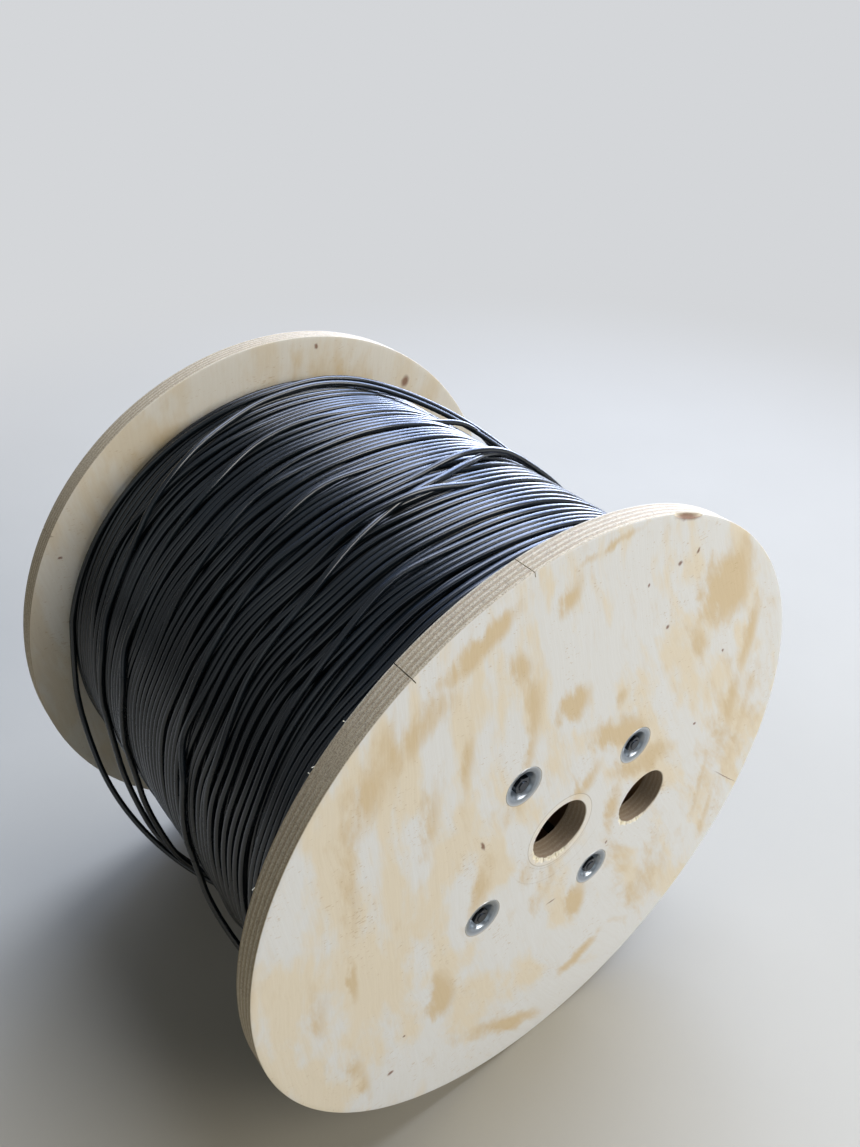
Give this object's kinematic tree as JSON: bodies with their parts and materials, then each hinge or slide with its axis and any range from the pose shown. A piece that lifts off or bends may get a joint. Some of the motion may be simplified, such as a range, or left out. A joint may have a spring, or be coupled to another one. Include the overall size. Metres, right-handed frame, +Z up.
{
  "type": "wooden cable drum",
  "caption": "Plywood drum with a spindle bore, a drive hole and bolted flanges, full of black outdoor cable.",
  "frame": {"origin": "on the floor, straight below the middle of the drum's axis", "axes": "+Z up, +Y along the drum's axis from the front flange to the rear flange"},
  "size_m": [0.7999, 0.638, 0.8],
  "materials": {
    "plywood": "matte",
    "barrel_board": "matte",
    "zinc_steel": "satin",
    "cable_sheath": "satin"
  },
  "bodies": {
    "root": {"front_flange": "plywood", "rear_flange": "plywood", "barrel": "barrel_board", "cable_winding": "cable_sheath", "tie_rod_1": "zinc_steel", "front_cup_washer_1": "zinc_steel", "rear_cup_washer_1": "zinc_steel", "front_nut_1": "zinc_steel", "rear_nut_1": "zinc_steel", "tie_rod_2": "zinc_steel", "front_cup_washer_2": "zinc_steel", "rear_cup_washer_2": "zinc_steel", "front_nut_2": "zinc_steel", "rear_nut_2": "zinc_steel", "tie_rod_3": "zinc_steel", "front_cup_washer_3": "zinc_steel", "rear_cup_washer_3": "zinc_steel", "front_nut_3": "zinc_steel", "rear_nut_3": "zinc_steel", "tie_rod_4": "zinc_steel", "front_cup_washer_4": "zinc_steel", "rear_cup_washer_4": "zinc_steel", "front_nut_4": "zinc_steel", "rear_nut_4": "zinc_steel", "loose_turn_1": "cable_sheath", "loose_turn_2": "cable_sheath", "loose_turn_3": "cable_sheath", "loose_turn_4": "cable_sheath"}
  },
  "joints": []
}
